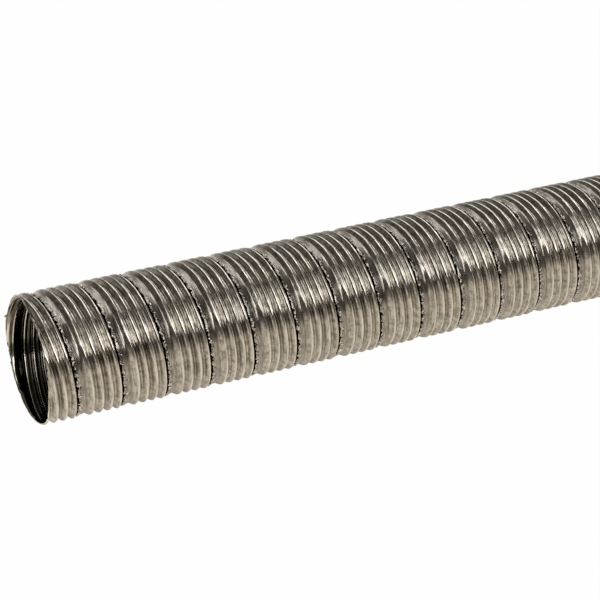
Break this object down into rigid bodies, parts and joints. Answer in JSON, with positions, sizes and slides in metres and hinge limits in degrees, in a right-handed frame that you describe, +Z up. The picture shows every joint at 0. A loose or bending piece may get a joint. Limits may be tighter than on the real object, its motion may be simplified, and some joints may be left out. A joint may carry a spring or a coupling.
{
  "type": "heater exhaust pipe",
  "caption": "Flexible metal exhaust pipe for a small fuel heater: a ribbed stainless strip wound as a helix with a lapped seam, open right through, with both ends cut square.",
  "frame": {"origin": "middle of the pipe's length, at the height of the surface that it lies on", "axes": "+X along the pipe towards its far end, +Z up; the open end that faces the viewer is at -X"},
  "size_m": [0.133, 0.026, 0.0256],
  "materials": {
    "stainless_steel": "bright rolled sheet, a warm grey, with fine scratches round the land and a dull inside"
  },
  "bodies": {
    "root": {"exhaust_pipe": "stainless_steel"}
  },
  "joints": []
}
